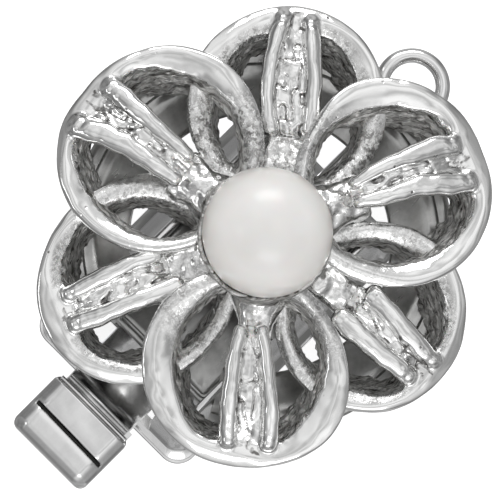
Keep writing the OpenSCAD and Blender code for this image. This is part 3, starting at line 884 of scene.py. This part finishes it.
def cast_silver():
    m = Nodes("cast_silver_polished")
    frost, wall, chan = m.attr("frost"), m.attr("wall"), m.attr("chan")
    grain = m.noise(8000, 3, 0.65)
    mid = m.noise(4200, 4, 0.66)
    soft = m.noise(420, 2, 0.5)
    patch = m.noise(1100, 3, 0.55)
    streak = m.noise(0, 3, 0.6, stretch=(900, 2600, 900))
    pits = m.ramp(m.voronoi(1300), [(0.05, 1.0), (0.12, 0.0)])
    where = m.ramp(m.noise(520, 2, 0.5), [(0.55, 0.0), (0.64, 1.0)])
    pits = m.math("MULTIPLY", pits, where)
    # frost with ragged edges and dark specks
    ragged = m.math("MULTIPLY", frost, m.ramp(m.noise(2100, 4, 0.72), [(0.38, 0.0), (0.54, 1.0)]))
    specks = m.math("MULTIPLY", ragged, m.ramp(mid, [(0.46, 1.0), (0.54, 0.0)]))
    # the unpolished inner walls and undersides: near-black furrows between bright ribs, running along the bands; the
    # near-black is partly painted shade of the dim inside and of the undersides
    place = m.new("ShaderNodeCombineXYZ")
    m.link(m.math("MULTIPLY", m.attr("arc"), 1.1), place.inputs[0])
    m.link(m.math("ADD", m.math("MULTIPLY", m.attr("rise"), 5.5), m.math("MULTIPLY", m.attr("arc"), 0.8)), place.inputs[1])
    run = m.new("ShaderNodeTexNoise")
    run.inputs["Scale"].default_value = 1.0
    run.inputs["Detail"].default_value = 4.0
    run.inputs["Roughness"].default_value = 0.62
    run.inputs["Distortion"].default_value = 1.1
    m.link(place.outputs[0], run.inputs["Vector"])
    run = run.outputs["Fac"]
    furrow = m.ramp(run, [(0.36, 1.0), (0.48, 0.45), (0.57, 0.0)])
    wall_and_shade = m.ramp(m.math("ADD", wall, m.math("MULTIPLY", m.math("SUBTRACT", patch, 0.5), 0.9)), [(0.28, 0.0), (0.52, 1.0)])
    wall_and_shade = m.math("MULTIPLY", wall_and_shade, m.ramp(wall, [(0.02, 0.0), (0.12, 1.0)]))
    # painted shade: the channel's deep creases go near black
    crease_shade = m.math("MULTIPLY", m.ramp(chan, [(0.14, 0.0), (0.62, 1.0)]), m.ramp(m.noise(2300, 3, 0.62), [(0.43, 1.0), (0.62, 0.2)]))
    # dark: frost specks, pits and the painted crease shade
    dark = m.math("MAXIMUM", m.math("MAXIMUM", m.math("MULTIPLY", specks, 0.85), m.math("MULTIPLY", crease_shade, 0.9)), m.math("MULTIPLY", pits, 0.9))
    col = m.mix(m.ramp(soft, [(0.3, 0.0), (0.7, 1.0)]), (0.86, 0.86, 0.855), (0.92, 0.92, 0.915))
    col = m.mix(dark, col, (0.10, 0.095, 0.09))
    # painted shade and texture: the walls' colour runs from light grey ribs to near-black furrows
    furrowed_wall_shade = m.mix(furrow, (0.80, 0.795, 0.78), (0.085, 0.08, 0.072))
    col = m.mix(wall_and_shade, col, furrowed_wall_shade)
    m.link(col, m.p.inputs["Base Color"])
    m.p.inputs["Metallic"].default_value = 1.0
    rough = m.math("ADD", m.math("MULTIPLY", streak, 0.07), 0.06)
    rough = m.math("ADD", rough, m.math("MULTIPLY", ragged, 0.24))
    rough = m.math("ADD", rough, m.math("MULTIPLY", wall_and_shade, 0.26), clamp=True)
    m.link(rough, m.p.inputs["Roughness"])
    b = m.bump(soft, 0.35, 0.00012)
    b = m.bump(streak, 0.08, 0.00003, b)
    b = m.bump(patch, m.math("MULTIPLY", ragged, 0.5), 0.00010, b)
    b = m.bump(mid, m.math("ADD", m.math("MULTIPLY", ragged, 0.8), m.math("MULTIPLY", wall_and_shade, 0.8), clamp=True), 0.00006, b)
    b = m.bump(run, m.math("MULTIPLY", wall_and_shade, 0.8), 0.00010, b)
    b = m.bump(grain, m.math("ADD", m.math("MULTIPLY", ragged, 0.8), m.math("MULTIPLY", wall_and_shade, 0.6), clamp=True), 0.00003, b)
    b = m.bump(m.math("SUBTRACT", 1.0, pits), 0.5, 0.00005, b)
    m.link(b, m.p.inputs["Normal"])
    return m.mat


def sheet_silver(name, base, dark, rough, wave=0.3, shade_mask=None):
    m = Nodes(name)
    soft = m.noise(330, 2, 0.5, distortion=0.4)
    cloud = m.noise(700, 5, 0.68)
    fine = m.noise(0, 3, 0.6, stretch=(700, 5200, 900))
    col = m.mix(m.ramp(cloud, [(0.32, 0.0), (0.72, 1.0)]), dark, base)
    if shade_mask:
        # painted shade: where the mask is set, the colour goes near black
        col = m.mix(m.attr(shade_mask), col, (0.03, 0.03, 0.028))
    m.link(col, m.p.inputs["Base Color"])
    m.p.inputs["Metallic"].default_value = 1.0
    m.link(m.math("ADD", m.math("MULTIPLY", fine, 0.10), rough), m.p.inputs["Roughness"])
    b = m.bump(soft, wave, 0.00010)
    b = m.bump(fine, 0.06, 0.00002, b)
    m.link(b, m.p.inputs["Normal"])
    return m.mat


def nacre():
    m = Nodes("pearl_nacre_cream")
    blotch = m.noise(260, 3, 0.55)
    layer = m.noise(0, 3, 0.5, stretch=(500, 500, 1500), distortion=0.8)
    col = m.mix(m.ramp(blotch, [(0.36, 0.0), (0.66, 1.0)]), (0.89, 0.865, 0.84), (0.945, 0.935, 0.92))
    col = m.mix(m.math("MULTIPLY", layer, 0.25), col, (0.91, 0.93, 0.92))
    # painted shade: the pearl's colour darkens towards its outline as seen
    edge_shade = m.new("ShaderNodeLayerWeight")
    edge_shade.inputs["Blend"].default_value = 0.35
    col = m.mix(m.ramp(edge_shade.outputs["Facing"], [(0.18, 0.0), (0.85, 0.9)]), col, (0.56, 0.535, 0.50))
    m.link(col, m.p.inputs["Base Color"])
    m.p.inputs["Roughness"].default_value = 0.34
    m.p.inputs["Specular IOR Level"].default_value = 0.6
    m.p.inputs["Coat Weight"].default_value = 0.5
    m.p.inputs["Coat Roughness"].default_value = 0.22
    m.p.inputs["Sheen Weight"].default_value = 0.08
    m.p.inputs["Sheen Roughness"].default_value = 0.4
    m.p.inputs["Sheen Tint"].default_value = (1.0, 0.93, 0.9, 1)
    m.p.inputs["Subsurface Weight"].default_value = 0.12
    m.p.inputs["Subsurface Scale"].default_value = 0.0008
    m.link(m.bump(m.noise(900, 4, 0.6), 0.05, 0.00003), m.p.inputs["Normal"])
    return m.mat


cast = cast_silver()
bright = sheet_silver("sheet_silver_bright", (0.90, 0.90, 0.90), (0.83, 0.83, 0.83), 0.10)
# a darker copy of the sheet silver: painted shade for the box, lid, floor sheet, back ring and legs under the flower
shadowed = sheet_silver("sheet_silver_painted_shade", (0.62, 0.62, 0.61), (0.36, 0.36, 0.355), 0.24, 0.7)
# a darker copy of the sheet silver: painted shade of the neck, on the whole upper leaf
neck_shade = sheet_silver("sheet_silver_neck_painted_shade", (0.74, 0.74, 0.74), (0.38, 0.38, 0.38), 0.12, 0.9)
block_mat = sheet_silver("sheet_silver_block", (0.90, 0.90, 0.90), (0.80, 0.80, 0.80), 0.14, 0.6, "groove")
nacre_mat = nacre()


def dress(ob, mat, body, slot, *nodes):
    ob.data.materials.clear()
    ob.data.materials.append(mat)
    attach(ob, body)
    if nodes:
        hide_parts(*nodes)


for ob in petals:
    dress(ob, cast, "clasp", "cast_silver", "flower")
dress(hub_ob, cast, "clasp", "cast_silver", "flower")
dress(legs_ob, shadowed, "clasp", "cast_silver", "flower")
dress(pearl_ob, nacre_mat, "clasp", "pearl", "pearl")
dress(frame_ob, bright, "clasp", "sheet_silver", "box")
dress(box_ob, shadowed, "clasp", "sheet_silver", "box")
dress(lid_ob, shadowed, "clasp", "sheet_silver", "box")
dress(floor_sheet, shadowed, "clasp", "sheet_silver", "box")
dress(ring_ob, shadowed, "clasp", "sheet_silver", "box")
dress(eye_ob, bright, "clasp", "sheet_silver", "box")
dress(block_ob, block_mat, "leaf", "sheet_silver", "spring_leaf")
dress(leaf_ob, neck_shade, "leaf", "sheet_silver", "spring_leaf")
tongue_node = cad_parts["tongue"]
tongue_node.data.materials.clear()
tongue_node.data.materials.append(bright)

# ---------------------------------------------------------------- stage
floor_me = bpy.data.meshes.new("floor")
floor_me.from_pydata([(-0.6, -0.6, -0.00002), (0.6, -0.6, -0.00002), (0.6, 0.6, -0.00002), (-0.6, 0.6, -0.00002)], [], [(0, 1, 2, 3)])
floor_ob = bpy.data.objects.new("floor", floor_me)
bpy.context.scene.collection.objects.link(floor_ob)
fm = Nodes("plain_floor")
fm.p.inputs["Base Color"].default_value = (0.93, 0.93, 0.93, 1)
fm.p.inputs["Roughness"].default_value = 0.9
fm.p.inputs["Specular IOR Level"].default_value = 0.1
fm.p.inputs["Emission Color"].default_value = (1, 1, 1, 1)
fm.p.inputs["Emission Strength"].default_value = 0.80
floor_me.materials.append(fm.mat)
floor_ob.visible_glossy = False

world = bpy.data.worlds.new("studio")
bpy.context.scene.world = world
world.use_nodes = True
wt = world.node_tree
wt.nodes.clear()
wo = wt.nodes.new("ShaderNodeOutputWorld")
bg = wt.nodes.new("ShaderNodeBackground")
tc = wt.nodes.new("ShaderNodeTexCoord")
sep = wt.nodes.new("ShaderNodeSeparateXYZ")
half_z = wt.nodes.new("ShaderNodeMath")
half_z.operation = "MULTIPLY_ADD"
half_z.inputs[1].default_value = half_z.inputs[2].default_value = 0.5
ramp = wt.nodes.new("ShaderNodeValToRGB")
el = ramp.color_ramp.elements
stops = [(-1.0, 0.50), (-0.3, 0.52), (0.0, 0.46), (0.15, 0.42), (0.35, 0.62), (0.55, 0.94), (0.80, 1.02), (0.93, 0.90), (1.0, 0.82)]
while len(el) < len(stops):
    el.new(0.5)
for e, (p, c) in zip(el, stops):
    e.position = p / 2 + 0.5
    e.color = (c, c, c, 1)
cloud = wt.nodes.new("ShaderNodeTexNoise")
cloud.inputs["Scale"].default_value = 2.6
cloud.inputs["Detail"].default_value = 1.0
soft_cloud = wt.nodes.new("ShaderNodeMapRange")
for i, val in ((1, 0.36), (2, 0.58), (3, 0.66), (4, 1.16)):
    soft_cloud.inputs[i].default_value = val
product = wt.nodes.new("ShaderNodeMath")
product.operation = "MULTIPLY"
across = wt.nodes.new("ShaderNodeVectorMath")
across.operation = "DOT_PRODUCT"
across.inputs[1].default_value = (0.703, -0.708, 0.0)
flags = wt.nodes.new("ShaderNodeValToRGB")
fe = flags.color_ramp.elements
fstops = [(0.0, 0.55), (0.16, 0.42), (0.34, 0.85), (0.5, 1.0), (0.68, 0.9), (0.84, 0.5), (1.0, 0.6)]
while len(fe) < len(fstops):
    fe.new(0.5)
for e, (p, c) in zip(fe, fstops):
    e.position = p
    e.color = (c, c, c, 1)
half_r = wt.nodes.new("ShaderNodeMath")
half_r.operation = "MULTIPLY_ADD"
half_r.inputs[1].default_value = half_r.inputs[2].default_value = 0.5
flagged = wt.nodes.new("ShaderNodeMath")
flagged.operation = "MULTIPLY"
wt.links.new(tc.outputs["Generated"], across.inputs[0])
wt.links.new(across.outputs["Value"], half_r.inputs[0])
wt.links.new(half_r.outputs[0], flags.inputs[0])
wt.links.new(tc.outputs["Generated"], sep.inputs[0])
wt.links.new(tc.outputs["Generated"], cloud.inputs["Vector"])
wt.links.new(cloud.outputs["Fac"], soft_cloud.inputs[0])
wt.links.new(sep.outputs["Z"], half_z.inputs[0])
wt.links.new(half_z.outputs[0], ramp.inputs[0])
wt.links.new(ramp.outputs[0], product.inputs[0])
wt.links.new(soft_cloud.outputs[0], product.inputs[1])
wt.links.new(product.outputs[0], flagged.inputs[0])
wt.links.new(flags.outputs[0], flagged.inputs[1])
wt.links.new(flagged.outputs[0], bg.inputs["Color"])
bg.inputs["Strength"].default_value = 1.0
wt.links.new(bg.outputs[0], wo.inputs[0])


def softbox(name, azimuth, elevation, dist, sx, sy, power):
    """A rectangular soft light that faces the clasp; azimuth runs from +X towards +Y."""
    li = bpy.data.lights.new(name, "AREA")
    li.shape, li.size, li.size_y, li.energy = "RECTANGLE", sx, sy, power
    ob = bpy.data.objects.new(name, li)
    bpy.context.scene.collection.objects.link(ob)
    a, e = math.radians(azimuth), math.radians(elevation)
    d = Vector((math.cos(a) * math.cos(e), math.sin(a) * math.cos(e), math.sin(e)))
    ob.location = d * dist
    ob.rotation_mode = "QUATERNION"
    ob.rotation_quaternion = d.to_track_quat("Z", "Y")


softbox("key", 45, 28, 0.45, 0.30, 0.15, 0.55)
softbox("fill", 225, 42, 0.45, 0.26, 0.12, 0.22)
softbox("edge", 140, 35, 0.45, 0.20, 0.10, 0.08)

# ---------------------------------------------------------------- camera, at the photo's angle
cam = bpy.data.cameras.new("camera")
cam.sensor_width = 36.0
cam.lens = 347.8
cam.clip_start, cam.clip_end = 0.01, 5.0
cam_ob = bpy.data.objects.new("camera", cam)
bpy.context.scene.collection.objects.link(cam_ob)


def aim(elevation, azimuth, roll, distance, anchor, ax, ay):
    """Looks down so that anchor, in mm, lies at pixel (ax, ay) of the photo's frame."""
    e, a, ro = (math.radians(t) for t in (elevation, azimuth, roll))
    back = Vector((math.sin(a) * math.cos(e), -math.cos(a) * math.cos(e), math.sin(e)))
    ahead = Vector((-math.sin(a), math.cos(a), 0))
    right = Vector((ahead.y, -ahead.x, 0))
    up = back.cross(right)
    r = right * math.cos(ro) + up * math.sin(ro)
    u = -right * math.sin(ro) + up * math.cos(ro)
    f = cam.lens / 36.0 * 500
    loc = Vector(anchor) - r * ((ax - 250) / f * distance) - u * ((250 - ay) / f * distance) + back * distance
    m = Matrix((r, u, back)).transposed().to_4x4()
    m.translation = loc * MM
    cam_ob.matrix_world = m


aim(83, -82.9, 37.9, 230.0, (0, 0, 6.0), 265.5, 235.5)
bpy.context.scene.camera = cam_ob
bpy.context.scene.view_settings.view_transform = "Standard"
bpy.context.scene.view_settings.look = "None"
